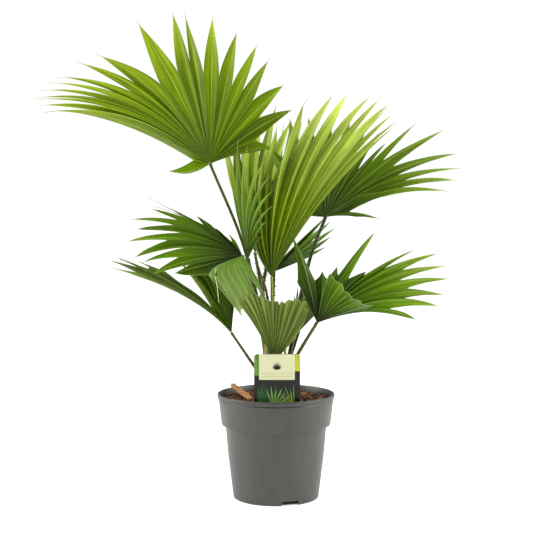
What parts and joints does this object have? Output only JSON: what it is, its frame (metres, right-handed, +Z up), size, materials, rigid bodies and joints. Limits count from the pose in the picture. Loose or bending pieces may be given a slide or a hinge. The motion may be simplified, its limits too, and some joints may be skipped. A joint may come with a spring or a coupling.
{
  "type": "potted footstool palm",
  "caption": "Young fan palm with pleated, finger-edged fronds on slender spined stalks, in a tapered nursery pot with a deep rim band and a plain plant label.",
  "frame": {"origin": "centre of the pot's flat underside, on the floor", "axes": "+Z up along the pot's axis, +X to the right and -Y towards the viewer in front of the plant label"},
  "size_m": [0.6006, 0.3788, 0.6994],
  "materials": {
    "grey_plastic": "matte",
    "bark_soil": "rough",
    "label_card": "satin",
    "stem_fibre": "rough",
    "stalk_skin": "satin",
    "blade_green": "satin",
    "dry_sheath": "matte"
  },
  "bodies": {
    "root": {"pot": "grey_plastic", "soil": "bark_soil", "label": "label_card", "stem": "stem_fibre", "stalk_upper_left": "stalk_skin", "stalk_centre": "stalk_skin", "stalk_upper_right": "stalk_skin", "stalk_left": "stalk_skin", "stalk_lower_left": "stalk_skin", "stalk_front": "stalk_skin", "stalk_lower_right": "stalk_skin", "stalk_low_right_back": "stalk_skin", "stalk_centre_back": "stalk_skin", "stalk_inner_left": "stalk_skin", "stalk_upper_back": "stalk_skin", "stalk_back": "stalk_skin", "stalk_back_left": "stalk_skin", "frond_upper_left": "blade_green", "frond_centre": "blade_green", "frond_upper_right": "blade_green", "frond_left": "blade_green", "frond_lower_left": "blade_green", "frond_front": "blade_green", "frond_lower_right": "blade_green", "frond_low_right_back": "blade_green", "frond_centre_back": "blade_green", "frond_inner_left": "blade_green", "frond_upper_back": "blade_green", "frond_back": "blade_green", "frond_back_left": "blade_green", "sheath_left": "dry_sheath", "sheath_right": "dry_sheath", "sheath_strip": "dry_sheath"}
  },
  "joints": []
}
